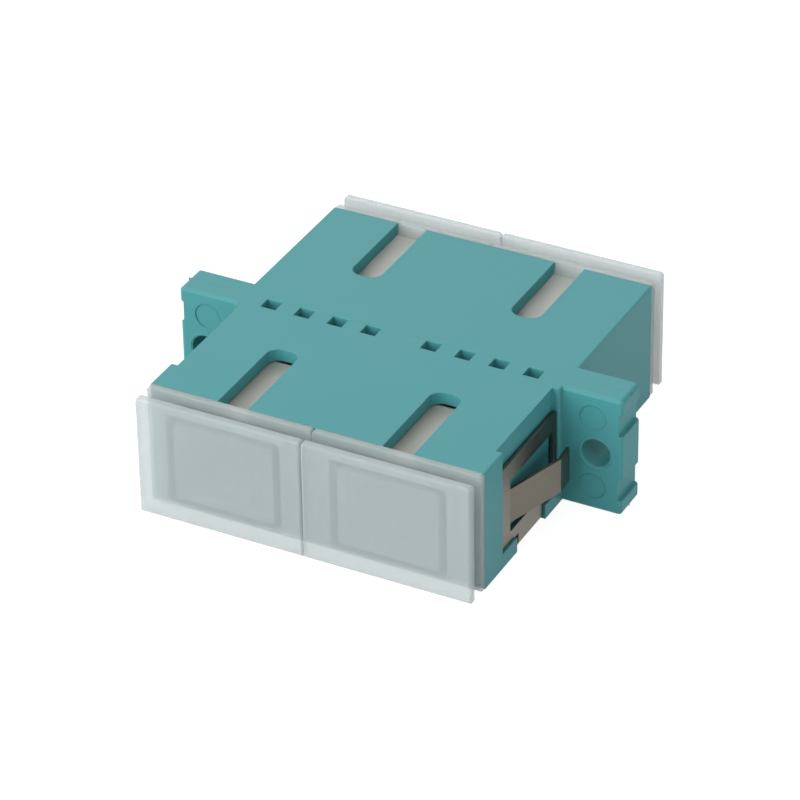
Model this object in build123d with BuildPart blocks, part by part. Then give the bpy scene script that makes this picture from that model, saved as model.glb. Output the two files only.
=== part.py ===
from build123d import *

import os

# SC duplex fibre adapter: two moulded halves welded at the middle of a screw flange, a stamped
# spring clip, four sleeve holders with latch hooks, two split sleeves and four dust caps.
# The origin is on the resting plane under the middle of the adapter. X runs along the row of
# ports, Y through the ports and Z up towards the keyways. Lengths are in millimetres.

os.makedirs("parts", exist_ok=True)

# Housing
port_spacing = 12.7
body_w = 25.7
body_h = 9.4
half_len = 13.45
port_w = 9.1
port_h = 7.5
port_corner_r = 0.3
mouth_chamfer = 0.2
edge_r = 0.15
rear_bottom_r = 0.45

# Keyways in the roof, and the rows of small windows beside the weld plane
key_w = 2.35
key_len = 7.8
key_end_r = 0.9
window_w = 1.2
window_l = 1.1
window_spacing = 2.65
window_setback = 0.7
window_count = 4

# Pocket that traps the sleeve holders, and the partition in front of it
pocket_margin = 0.3
pocket_depth = 1.4
partition_t = 0.9
throat_side_gap = 0.4
throat_top_gap = 0.35

# Screw flange
flange_w = 34.9
flange_half_t = 1.45
flange_corner_r = 0.35
flange_edge = 0.2
screw_inset = 2.0
screw_d = 2.2
notch_depth = 0.3
notch_margin = 1.15
notch_h = 1.8
mark_inset = 2.25
mark_rise = 2.8
mark_d = 2.0
mark_depth = 0.06

# Side recess for the clip, and the rib left between it and the flange
recess_depth = 0.55
front_band = 2.8
band_corner_r = 0.12
rib_t = 0.4
rib_corner_r = 0.25
ledge_h = 1.15

# Spring clip
clip_t = 0.25
clip_fit = 0.02
arm_gap = 0.13
clip_side_gap = 0.1
clip_low_gap = 0.04
clip_drop = 1.7
clip_top_strip = 1.4
clip_front_strip = 1.33
clip_rear_strip = 0.5
clip_low_strip = 0.86
clip_corner_r = 0.15
strap_w = 3.85
strap_setback = 6.0
strap_front_gap = 0.55
strap_rear_gap = 0.05
strap_bend_r = 0.4
tab_h = 2.7
tab_flare_angle = 17.0
tab_len = 5.1
tab_lip_len = 1.6
tab_lip_angle = 4.0

# Sleeve holders and split sleeves
holder_clear = 0.1
tube_wall = 0.49
tube_tip_t = 1.05
tube_tip_chamfer = 0.25
tip_bore_d = 3.0
sleeve_bore_d = 2.5
sleeve_wall = 0.35
sleeve_len = 11.4
sleeve_slit = 0.5
sleeve_clear = 0.06
sleeve_end_clear = 0.15
hook_reach = 1.5
hook_clear = 0.15
hook_t = 0.65
hook_w = 2.6
hook_barb = 0.5
hook_barb_len = 1.1
hook_lead = 0.5

# Dust caps
plug_clear = 0.1
plug_wall = 0.6
plug_len = 7.95
plug_lead = 0.25
stop_plate_t = 0.5
finger_plate_t = 0.6
neck_len = 1.1
plate_gap = 0.06
plate_lift = 0.12
plate_top_r = 0.25
plate_edge = 0.12
plate_bottom_r = 0.35
seat_gap = 0.02

# Places worked out from the dimensions above
port_z = body_h / 2
roof_t = (body_h - port_h) / 2
partition_y = pocket_depth + partition_t
pocket_w = port_w + 2 * pocket_margin
recess_front = half_len - front_band
recess_rear = flange_half_t + rib_t
channel_depth = clip_t + 2 * clip_fit
recess_floor_x = body_w / 2 - recess_depth
clip_in_x = recess_floor_x + arm_gap
clip_out_x = clip_in_x + clip_t
clip_in_r = strap_bend_r - clip_t
clip_front = recess_front - clip_side_gap
clip_rear = recess_rear + clip_side_gap
clip_low = ledge_h + clip_low_gap
clip_top = body_h - clip_drop
slot_w = strap_w + strap_front_gap + strap_rear_gap
slot_setback = strap_setback + (strap_front_gap - strap_rear_gap) / 2
plug_w = port_w - 2 * plug_clear
plug_h = port_h - 2 * plug_clear
plug_r = port_corner_r + plug_clear
sleeve_d = sleeve_bore_d + 2 * sleeve_wall
sleeve_room_d = sleeve_d + 2 * sleeve_clear
sleeve_room_len = sleeve_len / 2 + sleeve_end_clear
tube_d = sleeve_room_d + 2 * tube_wall
tube_len = sleeve_room_len + tube_tip_t
hook_len = tube_len + hook_reach
hook_span = plug_w - 2 * plug_wall - 2 * hook_clear
throat_w = hook_span + 2 * throat_side_gap
throat_h = tube_d + 2 * throat_top_gap
screw_spacing = flange_w - 2 * screw_inset
mark_spacing = flange_w - 2 * mark_inset

FACES = {"front": 1, "rear": -1}
SIDES = {"left": -1, "right": 1}


def port_plane(face, distance):
    """Plane across the ports, at a distance from the weld plane towards one port face."""
    return Plane.XZ.offset(face * distance)


# Housing halves
for face_name, face in FACES.items():
    with BuildPart() as housing:
        # This half of the flange, with two shallow notches in each end
        with BuildSketch(port_plane(face, 0)):
            with Locations((0, port_z)):
                RectangleRounded(flange_w, body_h, flange_corner_r)
        extrude(amount=face * flange_half_t)
        flange_face = housing.faces().filter_by(Axis.Y).sort_by(Axis.Y)[0 if face_name == "front" else -1]
        chamfer(flange_face.edges(), length=flange_edge)
        with BuildSketch(port_plane(face, 0)):
            with Locations((0, port_z)):
                with GridLocations(flange_w, body_h - 2 * notch_margin - notch_h, 2, 2):
                    Rectangle(2 * notch_depth, notch_h)
        extrude(amount=face * flange_half_t, mode=Mode.SUBTRACT)

        # Block from the weld plane to the port face, with its long edges rounded
        with BuildSketch(port_plane(face, 0)) as end_view:
            with Locations((0, port_z)):
                Rectangle(body_w, body_h)
            bottom_corners, top_corners = end_view.vertices().group_by(Axis.Y)
            fillet(top_corners, radius=edge_r)
            fillet(bottom_corners, radius=edge_r if face_name == "front" else rear_bottom_r)
        extrude(amount=face * half_len)

        # Ports, pockets for the sleeve holders, and the throats between them
        with BuildSketch(port_plane(face, partition_y)):
            with Locations((0, port_z)):
                with GridLocations(port_spacing, port_spacing, 2, 1):
                    RectangleRounded(port_w, port_h, port_corner_r)
        extrude(amount=face * (half_len - partition_y), mode=Mode.SUBTRACT)
        with BuildSketch(port_plane(face, 0)):
            with Locations((0, port_z)):
                with GridLocations(port_spacing, port_spacing, 2, 1):
                    Rectangle(pocket_w, port_h)
        extrude(amount=face * pocket_depth, mode=Mode.SUBTRACT)
        with BuildSketch(port_plane(face, pocket_depth)):
            with Locations((0, port_z)):
                with GridLocations(port_spacing, port_spacing, 2, 1):
                    RectangleRounded(throat_w, throat_h, port_corner_r)
        extrude(amount=face * partition_t, mode=Mode.SUBTRACT)
        port_face = housing.faces().filter_by(Axis.Y).sort_by(Axis.Y)[0 if face_name == "front" else -1]
        chamfer(port_face.inner_wires().edges(), length=mouth_chamfer)

        # Keyways through the roof, open at the port face
        with BuildSketch(Plane.XY.offset(body_h)) as keyways:
            with Locations((0, -face * (half_len - key_len / 2))):
                with GridLocations(port_spacing, port_spacing, 2, 1):
                    Rectangle(key_w, key_len)
            inner_ends = keyways.vertices().group_by(Axis.Y)[-1 if face_name == "front" else 0]
            fillet(inner_ends, radius=key_end_r)
        extrude(amount=-port_z, mode=Mode.SUBTRACT)

        # Screw holes
        with BuildSketch(port_plane(face, 0)):
            with Locations((0, port_z)):
                with GridLocations(screw_spacing, screw_spacing, 2, 1):
                    Circle(screw_d / 2)
        extrude(amount=face * flange_half_t, mode=Mode.SUBTRACT)

        if face_name == "front":
            # Windows through the roof into the pockets, a row of four over each port
            with BuildSketch(Plane.XY.offset(body_h)):
                with Locations((0, -window_setback)):
                    with GridLocations(port_spacing, port_spacing, 2, 1):
                        with GridLocations(window_spacing, window_spacing, window_count, 1):
                            Rectangle(window_w, window_l)
            extrude(amount=-roof_t, mode=Mode.SUBTRACT)

            # Side recesses, open at the top, each with a slot down through the bottom edge
            for side in SIDES.values():
                side_x = side * body_w / 2
                with BuildSketch(Plane.XY.offset(ledge_h)) as recess:
                    with Locations((side_x, -(recess_front + recess_rear) / 2)):
                        Rectangle(2 * recess_depth, recess_front - recess_rear)
                    for end_y, corner_r in ((recess_front, band_corner_r), (recess_rear, rib_corner_r)):
                        with Locations((side_x + side * recess_depth / 2, -end_y)):
                            Rectangle(recess_depth, 3 * corner_r)
                        outer_corner = recess.vertices().sort_by_distance((side_x, -end_y))[0]
                        fillet(outer_corner, radius=corner_r)
                extrude(amount=body_h - ledge_h, mode=Mode.SUBTRACT)
                with BuildSketch(Plane.XY):
                    with Locations((side_x, -slot_setback)):
                        Rectangle(2 * recess_depth, slot_w)
                extrude(amount=ledge_h, mode=Mode.SUBTRACT)

            # Channel across the bottom for the strap, with rounded ends under its bends
            with BuildSketch(Plane.XY):
                with Locations((0, -slot_setback)):
                    Rectangle(body_w, slot_w)
            extrude(amount=channel_depth, mode=Mode.SUBTRACT)
            for side in SIDES.values():
                bend_place = (side * recess_floor_x, -slot_setback, channel_depth)
                channel_end = housing.edges().filter_by(Axis.Y).sort_by_distance(bend_place)[0]
                fillet(channel_end, radius=clip_in_r)

            # Round ejector marks above and below each screw hole
            with BuildSketch(port_plane(face, flange_half_t)):
                with Locations((0, port_z)):
                    with GridLocations(mark_spacing, 2 * mark_rise, 2, 2):
                        Circle(mark_d / 2)
            extrude(amount=-mark_depth, mode=Mode.SUBTRACT)
    housing.part.label = "housing_" + face_name
    export_step(housing.part, f"parts/{housing.part.label}.step")

# Spring clip, folded round the bottom of the front half. Its side view is cut out of a
# channel section, and a tab is then lanced out of each arm and bent away from it.
tab_z = (clip_low + clip_low_strip + clip_top - clip_top_strip) / 2
tab_root = clip_front - clip_front_strip
with BuildPart() as retaining_clip:
    with BuildSketch(port_plane(1, clip_rear)) as channel:
        with Locations((0, clip_fit)):
            Rectangle(2 * clip_out_x, clip_top - clip_fit, align=(Align.CENTER, Align.MIN))
        fillet(channel.vertices().group_by(Axis.Y)[0], radius=strap_bend_r)
        with BuildSketch(mode=Mode.PRIVATE) as inside:
            with Locations((0, clip_fit + clip_t)):
                Rectangle(2 * clip_in_x, clip_top, align=(Align.CENTER, Align.MIN))
            fillet(inside.vertices().group_by(Axis.Y)[0], radius=clip_in_r)
        add(inside.sketch, mode=Mode.SUBTRACT)
    extrude(amount=clip_front - clip_rear)

    with BuildSketch(Plane.YZ):
        arm_y = -(clip_front + clip_rear) / 2
        with Locations((arm_y, (clip_low + clip_top) / 2)):
            RectangleRounded(clip_front - clip_rear, clip_top - clip_low, clip_corner_r)
        with Locations((-strap_setback, clip_low)):
            Rectangle(strap_w, 2 * clip_low, align=(Align.CENTER, Align.CENTER))
        window_h = clip_top - clip_top_strip - clip_low - clip_low_strip
        window_len = tab_root - clip_rear - clip_rear_strip
        with Locations((-tab_root + window_len / 2, tab_z)):
            RectangleRounded(window_len, window_h, clip_corner_r, mode=Mode.SUBTRACT)
    extrude(amount=2 * clip_out_x, both=True, mode=Mode.INTERSECT)

    for side in SIDES.values():
        with BuildSketch(Plane.XY.offset(tab_z - tab_h / 2)):
            with BuildLine():
                root = (side * clip_out_x, -tab_root)
                flare = PolarLine(root, tab_len, angle=90 - side * tab_flare_angle)
                lip = PolarLine(flare @ 1, tab_lip_len, angle=90 + side * tab_lip_angle)
                lip_in = PolarLine(lip @ 1, clip_t, angle=90 + side * (90 + tab_lip_angle))
                flare_in = Line(lip_in @ 1, flare @ 1 + Vector(-side * clip_t, 0))
                Polyline(flare_in @ 1, (side * clip_in_x, -tab_root), root)
            make_face()
        extrude(amount=tab_h)
retaining_clip.part.label = "retaining_clip"
export_step(retaining_clip.part, "parts/retaining_clip.step")

# Sleeve holders, each with a base plate, a tube for the sleeve and two latch hooks
holder_plate_t = pocket_depth - holder_clear
for face_name, face in FACES.items():
    for side_name, side in SIDES.items():
        port_x = side * port_spacing / 2
        with BuildPart() as holder:
            with BuildSketch(port_plane(face, 0)):
                with Locations((port_x, port_z)):
                    Rectangle(pocket_w - 2 * holder_clear, port_h - 2 * holder_clear)
            extrude(amount=face * holder_plate_t)
            with BuildSketch(port_plane(face, 0)):
                with Locations((port_x, port_z)):
                    Circle(tube_d / 2)
            extrude(amount=face * tube_len)
            tip = holder.edges().filter_by(GeomType.CIRCLE).group_by(Axis.Y)[0 if face == 1 else -1]
            chamfer(tip, length=tube_tip_chamfer)

            # Latch hooks, with a ramp at the tip and a barb that faces the tube
            with BuildSketch(Plane.XY.offset(port_z - hook_w / 2)):
                for hook in SIDES.values():
                    outside = hook_span / 2
                    inside_x = outside - hook_t
                    barb_x = inside_x - hook_barb
                    profile = [
                        (outside, holder_plate_t / 2),
                        (outside, hook_len),
                        (inside_x, hook_len),
                        (barb_x, hook_len - hook_lead),
                        (barb_x, hook_len - hook_barb_len),
                        (inside_x, hook_len - hook_barb_len),
                        (inside_x, holder_plate_t / 2),
                    ]
                    with BuildLine():
                        Polyline(*[(port_x + hook * x, -face * y) for x, y in profile], close=True)
                    make_face()
            extrude(amount=hook_w)

            with BuildSketch(port_plane(face, 0)):
                with Locations((port_x, port_z)):
                    Circle(sleeve_room_d / 2)
            extrude(amount=face * sleeve_room_len, mode=Mode.SUBTRACT)
            with BuildSketch(port_plane(face, 0)):
                with Locations((port_x, port_z)):
                    Circle(tip_bore_d / 2)
            extrude(amount=face * tube_len, mode=Mode.SUBTRACT)
        holder.part.label = f"holder_{face_name}_{side_name}"
        export_step(holder.part, f"parts/{holder.part.label}.step")

# Split sleeves, with the slit on top
for side_name, side in SIDES.items():
    with BuildPart() as sleeve:
        with BuildSketch(Plane.XZ):
            with Locations((side * port_spacing / 2, port_z)):
                Circle(sleeve_d / 2)
                Circle(sleeve_bore_d / 2, mode=Mode.SUBTRACT)
                Rectangle(sleeve_slit, sleeve_d, align=(Align.CENTER, Align.MIN), mode=Mode.SUBTRACT)
        extrude(amount=sleeve_len / 2, both=True)
    sleeve.part.label = "sleeve_" + side_name
    export_step(sleeve.part, f"parts/{sleeve.part.label}.step")

# Dust caps: a hollow plug and neck with a stop plate and a finger plate, open at the inner end.
# The plates of a pair meet in the middle and are flush with the sides and top of the housing.
plate_w = (body_w - plate_gap) / 2
plate_h = body_h - plate_lift
for face_name, face in FACES.items():
    for side_name, side in SIDES.items():
        cap_centre = (side * port_spacing / 2, port_z)
        seat_y = half_len + seat_gap
        plug_end_y = seat_y - plug_len
        finger_y = seat_y + stop_plate_t + neck_len
        with BuildPart() as cap:
            with BuildSketch(port_plane(face, plug_end_y)):
                with Locations(cap_centre):
                    RectangleRounded(plug_w, plug_h, plug_r)
            extrude(amount=face * (finger_y - plug_end_y))
            inner_end = cap.faces().filter_by(Axis.Y).sort_by(Axis.Y)[-1 if face == 1 else 0]
            chamfer(inner_end.edges(), length=plug_lead)
            for plate_y, plate_t in ((seat_y, stop_plate_t), (finger_y, finger_plate_t)):
                with BuildSketch(port_plane(face, plate_y)) as plate:
                    with Locations((side * (body_w + plate_gap) / 4, plate_lift)):
                        Rectangle(plate_w, plate_h, align=(Align.CENTER, Align.MIN))
                    bottom_corners, top_corners = plate.vertices().group_by(Axis.Y)
                    fillet(top_corners, radius=plate_top_r)
                    fillet(bottom_corners, radius=plate_bottom_r)
                extrude(amount=face * plate_t)
            outer_face = cap.faces().filter_by(Axis.Y).sort_by(Axis.Y)[0 if face == 1 else -1]
            chamfer(outer_face.edges(), length=plate_edge)
            with BuildSketch(port_plane(face, plug_end_y)):
                with Locations(cap_centre):
                    RectangleRounded(plug_w - 2 * plug_wall, plug_h - 2 * plug_wall, port_corner_r)
            extrude(amount=face * (finger_y - plug_end_y), mode=Mode.SUBTRACT)
        cap.part.label = f"cap_{face_name}_{side_name}"
        export_step(cap.part, f"parts/{cap.part.label}.step")
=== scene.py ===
# %% [markdown]
# # A duplex fibre adapter on white
# The object is a small panel adapter for fibre connectors: two aqua mouldings welded back to back,
# a steel clip round the front half, and four milky dust caps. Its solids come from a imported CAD
# model, so this file gives them their finish, their light and the camera. Everything is in metres.

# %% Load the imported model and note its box
from math import radians, sin, cos

import bmesh
import bpy
from mathutils import Matrix, Vector


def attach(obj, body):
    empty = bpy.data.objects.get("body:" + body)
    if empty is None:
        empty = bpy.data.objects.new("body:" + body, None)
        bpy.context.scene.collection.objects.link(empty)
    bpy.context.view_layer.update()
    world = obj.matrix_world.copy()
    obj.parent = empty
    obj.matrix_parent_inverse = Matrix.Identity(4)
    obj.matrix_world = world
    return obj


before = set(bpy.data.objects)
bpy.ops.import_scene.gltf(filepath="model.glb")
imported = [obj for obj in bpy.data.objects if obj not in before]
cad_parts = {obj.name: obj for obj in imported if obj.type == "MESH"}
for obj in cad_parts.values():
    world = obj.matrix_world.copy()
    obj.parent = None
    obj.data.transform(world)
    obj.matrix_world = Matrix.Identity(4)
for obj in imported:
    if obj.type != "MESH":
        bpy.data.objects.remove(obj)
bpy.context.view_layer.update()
MM = 0.001
print("nodes:", ", ".join(sorted(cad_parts)))

# %% [markdown]
# ## The camera
# A product photograph of something this small is taken with a long lens from far away, so its
# parallel edges hardly converge. The camera is placed by three angles and a distance round a target,
# because those are what was measured. A sight line is worked out from azimuth and elevation, and a
# slight roll levels the picture as the photograph has it.

# %% Place the camera
LENS_MM = 190.74
SENSOR_MM = 36.0
CAMERA_TURN = radians(-27.778)
CAMERA_DROP = radians(32.642)
CAMERA_ROLL = radians(-0.926)
CAMERA_DISTANCE = 300.385 * MM
CAMERA_TARGET = Vector((-0.517, 0.0, 3.724)) * MM

sight = Vector((
    sin(CAMERA_TURN) * cos(CAMERA_DROP),
    cos(CAMERA_TURN) * cos(CAMERA_DROP),
    -sin(CAMERA_DROP),
))
level_right = sight.cross(Vector((0, 0, 1))).normalized()
level_up = level_right.cross(sight)
right = level_right * cos(CAMERA_ROLL) + level_up * sin(CAMERA_ROLL)
up = level_up * cos(CAMERA_ROLL) - level_right * sin(CAMERA_ROLL)

camera_data = bpy.data.cameras.new("camera")
camera_data.lens = LENS_MM
camera_data.sensor_width = SENSOR_MM
camera_data.sensor_fit = "HORIZONTAL"
camera_data.clip_start = 0.01
camera_data.clip_end = 10.0
camera = bpy.data.objects.new("camera", camera_data)
camera_axes = Matrix((right, up, -sight)).transposed().to_4x4()
camera.matrix_world = Matrix.Translation(CAMERA_TARGET - sight * CAMERA_DISTANCE) @ camera_axes
bpy.context.scene.collection.objects.link(camera)
bpy.context.scene.camera = camera
print("camera at", [round(v / MM, 1) for v in camera.matrix_world.translation], "mm")

# %% [markdown]
# ## The white sweep and the light
# The photograph has a pure white ground and hardly a shadow. The world and the floor are white only
# to the camera, to reflections and to what is seen through something clear. For diffuse light the
# world is dimmer, so that the plastic keeps its own colour. The floor stays a real surface that takes
# the object's shadow, thinned by white emission so the shadow is as faint as it is in the picture.

# %% A helper that adds a node and sets its inputs
def add_node(tree, kind, name="", **inputs):
    node = tree.nodes.new(kind)
    node.label = name
    for key, value in inputs.items():
        node.inputs[key.replace("_", " ")].default_value = value
    return node


def seen_directly(tree):
    """One where a ray comes from the camera, a mirror-like bounce or through something clear."""
    path = tree.nodes.new("ShaderNodeLightPath")
    total = None
    for ray in ("Is Camera Ray", "Is Glossy Ray", "Is Transmission Ray"):
        if total is None:
            total = path.outputs[ray]
            continue
        either = tree.nodes.new("ShaderNodeMath")
        either.operation = "MAXIMUM"
        tree.links.new(total, either.inputs[0])
        tree.links.new(path.outputs[ray], either.inputs[1])
        total = either.outputs[0]
    return total


# %% World light
WHITE = (1, 1, 1, 1)
WORLD_FILL = 0.5
WORLD_WHITE = 1.0

world = bpy.data.worlds.new("white_room")
bpy.context.scene.world = world
world.use_nodes = True
tree = world.node_tree
tree.nodes.clear()
fill = add_node(tree, "ShaderNodeBackground", "fill light", Color=WHITE, Strength=WORLD_FILL)
white = add_node(tree, "ShaderNodeBackground", "white ground", Color=WHITE, Strength=WORLD_WHITE)
mix = tree.nodes.new("ShaderNodeMixShader")
out = tree.nodes.new("ShaderNodeOutputWorld")
tree.links.new(seen_directly(tree), mix.inputs["Fac"])
tree.links.new(fill.outputs[0], mix.inputs[1])
tree.links.new(white.outputs[0], mix.inputs[2])
tree.links.new(mix.outputs[0], out.inputs["Surface"])
print("world fill", WORLD_FILL)


# %% Floor
FLOOR_SIZE = 1.6
FLOOR_GAP = 0.02 * MM

half = FLOOR_SIZE / 2
floor_mesh = bpy.data.meshes.new("floor")
floor_outline = ((-half, -half), (half, -half), (half, half), (-half, half))
floor_mesh.from_pydata([(x, y, -FLOOR_GAP) for x, y in floor_outline], [], [(0, 1, 2, 3)])
floor = bpy.data.objects.new("floor", floor_mesh)
bpy.context.scene.collection.objects.link(floor)
print("floor", FLOOR_SIZE, "m across")

# %% White paper for the floor
FLOOR_GLOW = 0.9
FLOOR_COLOUR = (0.6, 0.6, 0.6, 1)
FLOOR_SHADE = (0.25, 0.25, 0.25, 1)

paper = bpy.data.materials.new("white_paper")
paper.use_nodes = True
tree = paper.node_tree
tree.nodes.clear()
matt = add_node(tree, "ShaderNodeBsdfDiffuse", "paper", Color=FLOOR_COLOUR)
glow = add_node(tree, "ShaderNodeEmission", "white to the camera", Color=WHITE, Strength=FLOOR_GLOW)
dim = add_node(tree, "ShaderNodeBsdfDiffuse", "thinned shadow", Color=FLOOR_SHADE)
both = tree.nodes.new("ShaderNodeAddShader")
pick = tree.nodes.new("ShaderNodeMixShader")
out = tree.nodes.new("ShaderNodeOutputMaterial")
tree.links.new(glow.outputs[0], both.inputs[0])
tree.links.new(dim.outputs[0], both.inputs[1])
tree.links.new(seen_directly(tree), pick.inputs["Fac"])
tree.links.new(matt.outputs[0], pick.inputs[1])
tree.links.new(both.outputs[0], pick.inputs[2])
tree.links.new(pick.outputs[0], out.inputs["Surface"])
floor_mesh.materials.append(paper)
print("floor glow", FLOOR_GLOW)


# %% [markdown]
# ## Softboxes
# A very broad box in front, on the left, lights the faces towards the camera. It is broad so that
# the satin top doesn't glare when it is seen against it from behind. A second one stands at the back,
# where the top mirrors it to the camera, which lays a pale sheen on the top. A weak one on the right
# keeps that side from going dull.

# %% Softboxes
BODY_MIDDLE_MM = (0, 0, 4)


def softbox(name, place_mm, size_mm, watts):
    data = bpy.data.lights.new(name, "AREA")
    data.shape = "RECTANGLE"
    data.size = size_mm[0] * MM
    data.size_y = size_mm[1] * MM
    data.energy = watts
    lamp = bpy.data.objects.new(name, data)
    place = Vector(place_mm) * MM
    lamp.location = place
    aim = Vector(BODY_MIDDLE_MM) * MM - place
    lamp.rotation_euler = aim.to_track_quat("-Z", "Y").to_euler()
    bpy.context.scene.collection.objects.link(lamp)


softbox("front_left", place_mm=(-150, -270, 190), size_mm=(460, 340), watts=1.55)
softbox("top_back", place_mm=(-118, 224, 168), size_mm=(300, 220), watts=0.23)
softbox("right_fill", place_mm=(272, -90, 90), size_mm=(180, 140), watts=0.1)


# %% [markdown]
# ## Shared surface effects
# Every moulding in the object has the same kind of skin: a fine spark-eroded grain, a slow drift of
# tone, and a roughness that varies a little. One node group holds that, and each plastic places
# it with its own scale and strength. A second group finds the sharp edges. It rounds the normals
# there, as a mould does, and gives a mask of the edges. The plastics use that mask to paint a
# lighter colour along their edges: a painted highlight for edges that catch the light.

# %% A helper that starts a shader group
def new_group(name, inputs, outputs):
    group = bpy.data.node_groups.new(name, "ShaderNodeTree")
    for label, kind, value in inputs:
        socket = group.interface.new_socket(label, in_out="INPUT", socket_type=kind)
        socket.default_value = value
    for label, kind in outputs:
        group.interface.new_socket(label, in_out="OUTPUT", socket_type=kind)
    return group, group.nodes.new("NodeGroupInput"), group.nodes.new("NodeGroupOutput")


# %% Moulded skin group
def moulded_skin_group():
    group, given, result = new_group(
        "moulded_skin",
        [
            ("Color", "NodeSocketColor", (0.5, 0.5, 0.5, 1)),
            ("Drift", "NodeSocketFloat", 0.04),
            ("Grain per m", "NodeSocketFloat", 9000.0),
            ("Roughness", "NodeSocketFloat", 0.4),
            ("Roughness drift", "NodeSocketFloat", 0.06),
        ],
        [("Color", "NodeSocketColor"), ("Roughness", "NodeSocketFloat"), ("Height", "NodeSocketFloat")],
    )
    links = group.links
    place = group.nodes.new("ShaderNodeTexCoord")
    slow = add_node(group, "ShaderNodeTexNoise", "slow drift", Scale=140.0, Detail=3.0, Roughness=0.5)
    links.new(place.outputs["Object"], slow.inputs["Vector"])
    fine = add_node(group, "ShaderNodeTexNoise", "fine grain", Detail=2.0, Roughness=0.6)
    links.new(place.outputs["Object"], fine.inputs["Vector"])
    links.new(given.outputs["Grain per m"], fine.inputs["Scale"])

    centred = add_node(group, "ShaderNodeMath", "drift from the middle")
    centred.operation = "SUBTRACT"
    centred.inputs[1].default_value = 0.5
    links.new(slow.outputs["Fac"], centred.inputs[0])
    amount = add_node(group, "ShaderNodeMath", "tone")
    amount.operation = "MULTIPLY_ADD"
    amount.inputs[2].default_value = 1.0
    links.new(centred.outputs[0], amount.inputs[0])
    links.new(given.outputs["Drift"], amount.inputs[1])
    tinted = group.nodes.new("ShaderNodeVectorMath")
    tinted.operation = "SCALE"
    links.new(given.outputs["Color"], tinted.inputs[0])
    links.new(amount.outputs[0], tinted.inputs["Scale"])
    links.new(tinted.outputs[0], result.inputs["Color"])

    rough = add_node(group, "ShaderNodeMath", "roughness")
    rough.operation = "MULTIPLY_ADD"
    links.new(centred.outputs[0], rough.inputs[0])
    links.new(given.outputs["Roughness drift"], rough.inputs[1])
    links.new(given.outputs["Roughness"], rough.inputs[2])
    links.new(rough.outputs[0], result.inputs["Roughness"])
    links.new(fine.outputs["Fac"], result.inputs["Height"])
    return group


MOULDED_SKIN = moulded_skin_group()
print("group", MOULDED_SKIN.name, "made")


# %% Soft edge group
EDGE_SAMPLES = 3


def soft_edge_group():
    group, given, result = new_group(
        "soft_edge",
        [("Width m", "NodeSocketFloat", 0.0001), ("Gain", "NodeSocketFloat", 4.0)],
        [("Highlight mask", "NodeSocketFloat"), ("Normal", "NodeSocketVector")],
    )
    links = group.links
    bevel = group.nodes.new("ShaderNodeBevel")
    bevel.samples = EDGE_SAMPLES
    links.new(given.outputs["Width m"], bevel.inputs["Radius"])
    flat = group.nodes.new("ShaderNodeNewGeometry")
    same = group.nodes.new("ShaderNodeVectorMath")
    same.operation = "DOT_PRODUCT"
    links.new(bevel.outputs["Normal"], same.inputs[0])
    links.new(flat.outputs["Normal"], same.inputs[1])
    bent = add_node(group, "ShaderNodeMath", "how far it bends")
    bent.operation = "SUBTRACT"
    bent.inputs[0].default_value = 1.0
    links.new(same.outputs["Value"], bent.inputs[1])
    # This mask sets where the plastics paint a highlight along their edges.
    mask = add_node(group, "ShaderNodeMath", "edge mask")
    mask.operation = "MULTIPLY"
    mask.use_clamp = True
    links.new(bent.outputs[0], mask.inputs[0])
    links.new(given.outputs["Gain"], mask.inputs[1])
    links.new(mask.outputs[0], result.inputs["Highlight mask"])
    links.new(bevel.outputs["Normal"], result.inputs["Normal"])
    return group


SOFT_EDGE = soft_edge_group()
print("group", SOFT_EDGE.name, "made")


# %% A helper for every plastic
def srgb(red, green, blue):
    """Linear colour of an eight-bit screen colour."""
    def linear(value):
        value /= 255
        return value / 12.92 if value <= 0.04045 else ((value + 0.055) / 1.055) ** 2.4
    return (linear(red), linear(green), linear(blue), 1.0)


def plastic(name, color, edge_highlight_color, roughness, drift=0.04, grain_per_m=9000.0, bump_mm=0.002,
            edge_mm=0.1, **shader_inputs):
    material = bpy.data.materials.new(name)
    material.use_nodes = True
    tree = material.node_tree
    shader = tree.nodes["Principled BSDF"]
    skin = tree.nodes.new("ShaderNodeGroup")
    skin.node_tree = MOULDED_SKIN
    skin.label = "skin"
    skin.inputs["Color"].default_value = color
    skin.inputs["Drift"].default_value = drift
    skin.inputs["Grain per m"].default_value = grain_per_m
    skin.inputs["Roughness"].default_value = roughness
    edge = tree.nodes.new("ShaderNodeGroup")
    edge.node_tree = SOFT_EDGE
    edge.inputs["Width m"].default_value = edge_mm * MM
    # Painted highlight: the colour is lightened along the edges by the edge mask.
    lighter = add_node(tree, "ShaderNodeMix", "painted edge highlight")
    lighter.data_type = "RGBA"
    lighter.inputs["B"].default_value = edge_highlight_color
    bump = add_node(tree, "ShaderNodeBump", "grain", Strength=0.5, Distance=bump_mm * MM)
    tree.links.new(edge.outputs["Highlight mask"], lighter.inputs["Factor"])
    tree.links.new(skin.outputs["Color"], lighter.inputs["A"])
    tree.links.new(lighter.outputs["Result"], shader.inputs["Base Color"])
    tree.links.new(skin.outputs["Roughness"], shader.inputs["Roughness"])
    tree.links.new(skin.outputs["Height"], bump.inputs["Height"])
    tree.links.new(edge.outputs["Normal"], bump.inputs["Normal"])
    tree.links.new(bump.outputs["Normal"], shader.inputs["Normal"])
    for key, value in shader_inputs.items():
        shader.inputs[key.replace("_", " ")].default_value = value
    return material


def dress(material, *nodes):
    for node in nodes:
        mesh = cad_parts[node].data
        mesh.materials.clear()
        mesh.materials.append(material)
    print(material.name, "on", len(nodes), "nodes")


# %% [markdown]
# ## The aqua housing
# The two halves are moulded in a glass-filled plastic, so the skin is satin and not shiny. The
# colour is written as the top face shows it without the pale sheen that the white room puts on it.

# %% Aqua plastic
AQUA_TINT = srgb(69, 143, 147)
# The second colour is a painted highlight: a lighter teal laid along the housing's edges.
AQUA_EDGE_HIGHLIGHT = srgb(98, 178, 172)
AQUA_ROUGHNESS = 0.48

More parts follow.
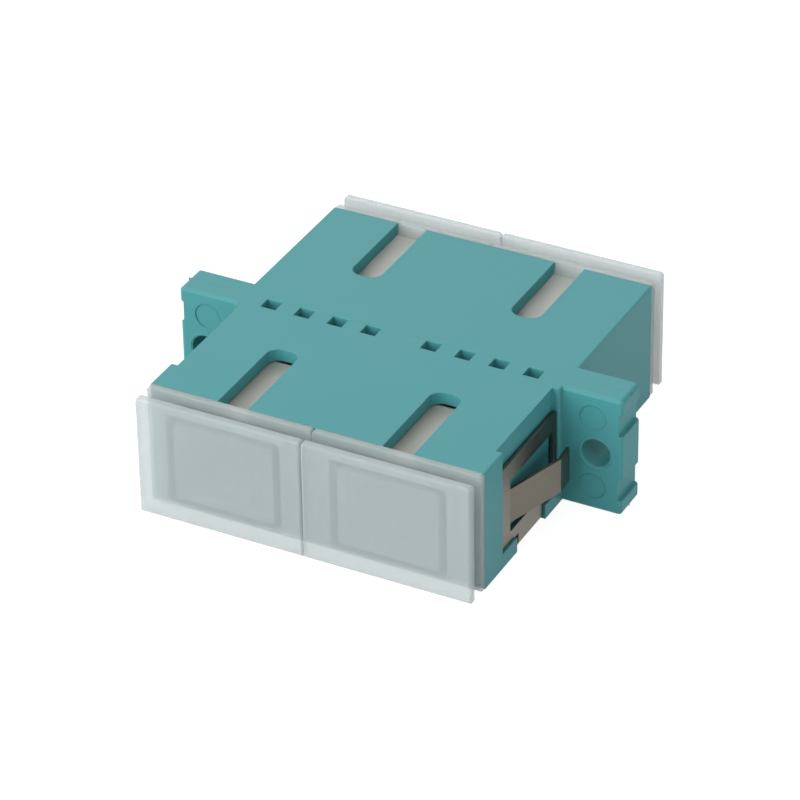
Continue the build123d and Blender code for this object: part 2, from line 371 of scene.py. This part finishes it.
aqua = plastic("satin_aqua", AQUA_TINT, AQUA_EDGE_HIGHLIGHT, AQUA_ROUGHNESS, Specular_IOR_Level=0.22)
dress(aqua, "housing_front", "housing_rear")

# %% [markdown]
# ## The milky caps
# The caps are soft natural plastic. Light enters a milky plate, spreads inside it and leaves at
# another place, so its shadows are weak and what lies behind it shows faintly. Subsurface light
# gives the spread, and an alpha below one lets the neck and the hollow plug show through and lets
# lamp light into the port. Roughness and alpha change with the distance from the weld plane,
# because the plug has a thin wall and the plates are frosted. The tint changes there too: the plug
# gets a lighter, warmer tint that is painted light, standing in for the glow that light from behind
# gives the plugs.

# %% Helpers that change a value along the port
PLUG_ENDS_AT = 13.3 * MM
PLATES_START_AT = 13.6 * MM


def along_port(tree, low, high):
    """Zero in the plug and one in the plates, from the distance to the weld plane."""
    place = tree.nodes.new("ShaderNodeTexCoord")
    split = tree.nodes.new("ShaderNodeSeparateXYZ")
    far = tree.nodes.new("ShaderNodeMath")
    far.operation = "ABSOLUTE"
    ramp = tree.nodes.new("ShaderNodeMapRange")
    ramp.inputs["From Min"].default_value = low
    ramp.inputs["From Max"].default_value = high
    tree.links.new(place.outputs["Object"], split.inputs[0])
    tree.links.new(split.outputs["Y"], far.inputs[0])
    tree.links.new(far.outputs[0], ramp.inputs["Value"])
    return ramp.outputs["Result"]


def between(tree, name, factor, low, high):
    step = add_node(tree, "ShaderNodeMapRange", name)
    step.inputs["To Min"].default_value = low
    step.inputs["To Max"].default_value = high
    tree.links.new(factor, step.inputs["Value"])
    return step.outputs["Result"]


print("the plug's finish ends", PLUG_ENDS_AT / MM, "mm from the weld plane")

# %% Milky plastic
# The plug's tint is lighter and warmer than the plates' tint: a painted glow for light coming through
# from behind.
PLUG_TINT_WITH_PAINTED_GLOW = srgb(210, 210, 202)
PLATE_TINT = srgb(190, 201, 201)
# The edge colour fills the painted-highlight slot. It is set about equal to the plate tint, so the
# milky edges get almost no painted highlight.
PLATE_EDGE_HIGHLIGHT = srgb(190, 199, 199)
PLUG_ROUGHNESS = 0.3
PLATE_ROUGHNESS = 0.75
PLUG_ALPHA = 0.5
PLATE_ALPHA = 0.52
LIGHT_SPREAD = 0.3 * MM

milky = plastic(
    "milky_cap", PLATE_TINT, PLATE_EDGE_HIGHLIGHT, PLATE_ROUGHNESS, drift=0.03, edge_mm=0.15,
    IOR=1.45, Specular_IOR_Level=0.25, Subsurface_Weight=1.0, Subsurface_Scale=LIGHT_SPREAD,
    Subsurface_Radius=(1.0, 1.0, 1.0),
)
tree = milky.node_tree
in_plate = along_port(tree, PLUG_ENDS_AT, PLATES_START_AT)
skin = next(node for node in tree.nodes if node.label == "skin")
smoother = between(tree, "smoother plug", in_plate, PLUG_ROUGHNESS, PLATE_ROUGHNESS)
tree.links.new(smoother, skin.inputs["Roughness"])
clear = between(tree, "see-through", in_plate, PLUG_ALPHA, PLATE_ALPHA)
tree.links.new(clear, tree.nodes["Principled BSDF"].inputs["Alpha"])
# Painted glow: the plug gets the lighter, warmer tint, and the plates keep their own tint.
tint = add_node(tree, "ShaderNodeMix", "painted glow in the plug, plate tint")
tint.data_type = "RGBA"
tint.inputs["A"].default_value = PLUG_TINT_WITH_PAINTED_GLOW
tint.inputs["B"].default_value = PLATE_TINT
tree.links.new(in_plate, tint.inputs["Factor"])
tree.links.new(tint.outputs["Result"], skin.inputs["Color"])
dress(milky, *[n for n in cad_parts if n.startswith("cap_")])

# %% [markdown]
# ## The parts inside
# The holders are natural plastic with a warm tint, and the split sleeves are ground white ceramic.
# They are hidden while the caps are on, and show through the plugs and when a cap comes off.

# %% Holders and sleeves
HOLDER_TINT = srgb(190, 182, 164)
# The lighter edge colours are painted highlights along the edges of the holders and sleeves.
HOLDER_EDGE_HIGHLIGHT = srgb(214, 208, 192)
SLEEVE_TINT = srgb(236, 234, 226)
SLEEVE_EDGE_HIGHLIGHT = srgb(240, 239, 233)

cream = plastic("holder_plastic", HOLDER_TINT, HOLDER_EDGE_HIGHLIGHT, roughness=0.45)
dress(cream, *[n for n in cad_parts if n.startswith("holder_")])

zirconia = plastic("white_sleeve", SLEEVE_TINT, SLEEVE_EDGE_HIGHLIGHT, roughness=0.18, grain_per_m=4000.0)
dress(zirconia, *[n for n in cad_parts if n.startswith("sleeve_")])


# %% [markdown]
# ## The clip
# The clip is cut from rolled stainless strip, so fine streaks run along it and its shine is soft.
# It is a plain metal whose tint and roughness follow the streaks, and it shows the aqua next to it.

# %% Clip steel
STREAKS_PER_M = (20000.0, 600.0, 20000.0)
STEEL_DARK = srgb(92, 89, 81)
STEEL_LIGHT = srgb(118, 114, 105)
STEEL_ROUGHNESS = (0.3, 0.4)
STRIP_EDGE = 0.05 * MM


def spring_steel():
    material = bpy.data.materials.new("clip_strip_steel")
    material.use_nodes = True
    tree = material.node_tree
    shader = tree.nodes["Principled BSDF"]
    shader.inputs["Metallic"].default_value = 1.0
    place = tree.nodes.new("ShaderNodeTexCoord")
    along = tree.nodes.new("ShaderNodeMapping")
    along.inputs["Scale"].default_value = STREAKS_PER_M
    tree.links.new(place.outputs["Object"], along.inputs["Vector"])
    streaks = add_node(tree, "ShaderNodeTexNoise", "rolling streaks", Scale=1.0, Detail=2.0)
    tree.links.new(along.outputs[0], streaks.inputs["Vector"])
    tone = tree.nodes.new("ShaderNodeMix")
    tone.data_type = "RGBA"
    tone.inputs["A"].default_value = STEEL_DARK
    tone.inputs["B"].default_value = STEEL_LIGHT
    tree.links.new(streaks.outputs["Fac"], tone.inputs["Factor"])
    tree.links.new(tone.outputs["Result"], shader.inputs["Base Color"])
    rough = tree.nodes.new("ShaderNodeMapRange")
    rough.inputs["To Min"].default_value = STEEL_ROUGHNESS[0]
    rough.inputs["To Max"].default_value = STEEL_ROUGHNESS[1]
    tree.links.new(streaks.outputs["Fac"], rough.inputs["Value"])
    tree.links.new(rough.outputs["Result"], shader.inputs["Roughness"])
    edge = tree.nodes.new("ShaderNodeGroup")
    edge.node_tree = SOFT_EDGE
    edge.inputs["Width m"].default_value = STRIP_EDGE
    tree.links.new(edge.outputs["Normal"], shader.inputs["Normal"])
    return material


dress(spring_steel(), "retaining_clip")


# %% [markdown]
# ## Details that repeat
# Four pins push the front half out of its mould, and each leaves a round mark with a hair-thin
# rim. The two screw holes have a wider raised rim. Both are the same thing at different sizes, a
# ring of small round section at each of a few points, so one Geometry Nodes tree makes them all.

# %% Helpers for Geometry Nodes
def new_tree(name, inputs):
    tree = bpy.data.node_groups.new(name, "GeometryNodeTree")
    tree.interface.new_socket("Geometry", in_out="INPUT", socket_type="NodeSocketGeometry")
    for label, kind, value in inputs:
        socket = tree.interface.new_socket(label, in_out="INPUT", socket_type=kind)
        if value is not None:
            socket.default_value = value
    tree.interface.new_socket("Geometry", in_out="OUTPUT", socket_type="NodeSocketGeometry")
    return tree, tree.nodes.new("NodeGroupInput"), tree.nodes.new("NodeGroupOutput")


def finish_tree(tree, given, result, geometry):
    real = tree.nodes.new("GeometryNodeRealizeInstances")
    paint = tree.nodes.new("GeometryNodeSetMaterial")
    tree.links.new(geometry, real.inputs["Geometry"])
    tree.links.new(real.outputs["Geometry"], paint.inputs["Geometry"])
    tree.links.new(given.outputs["Material"], paint.inputs["Material"])
    tree.links.new(paint.outputs["Geometry"], result.inputs["Geometry"])


def grow(name, points, edges, tree, settings, body):
    """Run a tree on a few points or edges, and keep the result as a plain mesh on a body."""
    seed_mesh = bpy.data.meshes.new(name + "_seed")
    seed_mesh.from_pydata([Vector(p) * MM for p in points], edges, [])
    host = bpy.data.objects.new(name + "_seed", seed_mesh)
    bpy.context.scene.collection.objects.link(host)
    modifier = host.modifiers.new("grow", "NODES")
    modifier.node_group = tree
    for item in tree.interface.items_tree:
        if item.item_type == "SOCKET" and item.in_out == "INPUT" and item.name in settings:
            modifier[item.identifier] = settings[item.name]
    graph = bpy.context.evaluated_depsgraph_get()
    mesh = bpy.data.meshes.new_from_object(host.evaluated_get(graph), depsgraph=graph)
    bpy.data.objects.remove(host)
    bpy.data.meshes.remove(seed_mesh)
    shell = bmesh.new()
    shell.from_mesh(mesh)
    bmesh.ops.recalc_face_normals(shell, faces=shell.faces)
    shell.to_mesh(mesh)
    shell.free()
    mesh.shade_smooth()
    mesh.name = name
    piece = bpy.data.objects.new(name, mesh)
    bpy.context.scene.collection.objects.link(piece)
    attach(piece, body)
    print(name, "has", len(mesh.polygons), "faces")


# %% Ring tree
RING_STEPS = 48
BEAD_STEPS = 8


def ring_tree():
    tree, given, result = new_tree("raised_rings", [
        ("Ring Radius", "NodeSocketFloat", 1.0 * MM),
        ("Bead Radius", "NodeSocketFloat", 0.03 * MM),
        ("Material", "NodeSocketMaterial", None),
    ])
    ring = add_node(tree, "GeometryNodeCurvePrimitiveCircle", "ring", Resolution=RING_STEPS)
    bead = add_node(tree, "GeometryNodeCurvePrimitiveCircle", "bead", Resolution=BEAD_STEPS)
    tree.links.new(given.outputs["Ring Radius"], ring.inputs["Radius"])
    tree.links.new(given.outputs["Bead Radius"], bead.inputs["Radius"])
    sweep = tree.nodes.new("GeometryNodeCurveToMesh")
    tree.links.new(ring.outputs["Curve"], sweep.inputs["Curve"])
    tree.links.new(bead.outputs["Curve"], sweep.inputs["Profile Curve"])
    upright = add_node(tree, "GeometryNodeTransform", "face the front", Rotation=(radians(90), 0, 0))
    tree.links.new(sweep.outputs["Mesh"], upright.inputs["Geometry"])
    place = tree.nodes.new("GeometryNodeInstanceOnPoints")
    tree.links.new(given.outputs["Geometry"], place.inputs["Points"])
    tree.links.new(upright.outputs["Geometry"], place.inputs["Instance"])
    finish_tree(tree, given, result, place.outputs["Instances"])
    return tree


RINGS = ring_tree()
print("tree", RINGS.name, "made")

# %% Pin marks and screw hole rims
FLANGE_FACE_Y = -1.45
PORT_Z = 4.7
PIN_MARK_X = 15.2
PIN_MARK_RISE = 2.8
PIN_MARK_R = 1.0
PIN_MARK_BEAD = 0.013
SCREW_X = 15.45
SCREW_RIM_R = 1.24
SCREW_RIM_BEAD = 0.05

pin_centres = [
    (side * PIN_MARK_X, FLANGE_FACE_Y, PORT_Z + level * PIN_MARK_RISE)
    for side in (-1, 1) for level in (-1, 1)
]
grow("pin_mark_rims", pin_centres, [], RINGS, {
    "Ring Radius": PIN_MARK_R * MM,
    "Bead Radius": PIN_MARK_BEAD * MM,
    "Material": aqua,
}, "adapter")

screw_centres = [(x, FLANGE_FACE_Y, PORT_Z) for x in (-SCREW_X, SCREW_X)]
grow("screw_hole_rims", screw_centres, [], RINGS, {
    "Ring Radius": SCREW_RIM_R * MM,
    "Bead Radius": SCREW_RIM_BEAD * MM,
    "Material": aqua,
}, "adapter")


# %% [markdown]
# ## The weld line
# The halves are joined by an ultrasonic weld, and a little plastic is squeezed out along the seam.
# The bead follows the outline of the flange at the weld plane and is uneven. The tree sweeps a
# thin section along that outline, and noise with a fixed seed swells it here and there. Its path
# lies just under the skin, so only the swellings stand out.

# %% Weld bead tree
SWELL_STARTS = 0.5
SWELL_FULL = 0.75
SECTION_STEPS = 6


def weld_tree():
    tree, given, result = new_tree("weld_bead", [
        ("Step", "NodeSocketFloat", 0.12 * MM),
        ("Thin", "NodeSocketFloat", 0.02 * MM),
        ("Thick", "NodeSocketFloat", 0.07 * MM),
        ("Lumps per m", "NodeSocketFloat", 500.0),
        ("Seed", "NodeSocketFloat", 3.0),
        ("Material", "NodeSocketMaterial", None),
    ])
    path = tree.nodes.new("GeometryNodeMeshToCurve")
    even = tree.nodes.new("GeometryNodeResampleCurve")
    even.mode = "LENGTH"
    tree.links.new(given.outputs["Geometry"], path.inputs["Mesh"])
    tree.links.new(path.outputs["Curve"], even.inputs["Curve"])
    tree.links.new(given.outputs["Step"], even.inputs["Length"])
    noise = add_node(tree, "ShaderNodeTexNoise", "squeezed out here and there", Detail=2.0)
    noise.noise_dimensions = "4D"
    tree.links.new(given.outputs["Lumps per m"], noise.inputs["Scale"])
    tree.links.new(given.outputs["Seed"], noise.inputs["W"])
    swell = add_node(tree, "ShaderNodeMapRange", "bead radius")
    swell.inputs["From Min"].default_value = SWELL_STARTS
    swell.inputs["From Max"].default_value = SWELL_FULL
    tree.links.new(noise.outputs["Fac"], swell.inputs["Value"])
    tree.links.new(given.outputs["Thin"], swell.inputs["To Min"])
    tree.links.new(given.outputs["Thick"], swell.inputs["To Max"])
    section = add_node(
        tree, "GeometryNodeCurvePrimitiveCircle", "unit section", Resolution=SECTION_STEPS, Radius=1.0
    )
    sweep = tree.nodes.new("GeometryNodeCurveToMesh")
    tree.links.new(even.outputs["Curve"], sweep.inputs["Curve"])
    tree.links.new(section.outputs["Curve"], sweep.inputs["Profile Curve"])
    tree.links.new(swell.outputs["Result"], sweep.inputs["Scale"])
    finish_tree(tree, given, result, sweep.outputs["Mesh"])
    return tree


WELD = weld_tree()
print("tree", WELD.name, "made")

# %% Weld bead
SEAM_HALF_W = 17.41
SEAM_LOW = 0.05
SEAM_HIGH = 9.36
NOTCH_X = 17.11
NOTCHES = ((1.15, 2.95), (6.45, 8.25))

right_end = [(SEAM_HALF_W, 0, SEAM_LOW)]
for low, high in NOTCHES:
    right_end += [(SEAM_HALF_W, 0, low), (NOTCH_X, 0, low), (NOTCH_X, 0, high), (SEAM_HALF_W, 0, high)]
right_end.append((SEAM_HALF_W, 0, SEAM_HIGH))
seam = right_end + [(-x, y, z) for x, y, z in reversed(right_end)]
seam_edges = [(i, (i + 1) % len(seam)) for i in range(len(seam))]
grow("weld_bead", seam, seam_edges, WELD, {"Material": aqua}, "adapter")


# %% Colour settings
scene = bpy.context.scene
scene.view_settings.view_transform = "Standard"
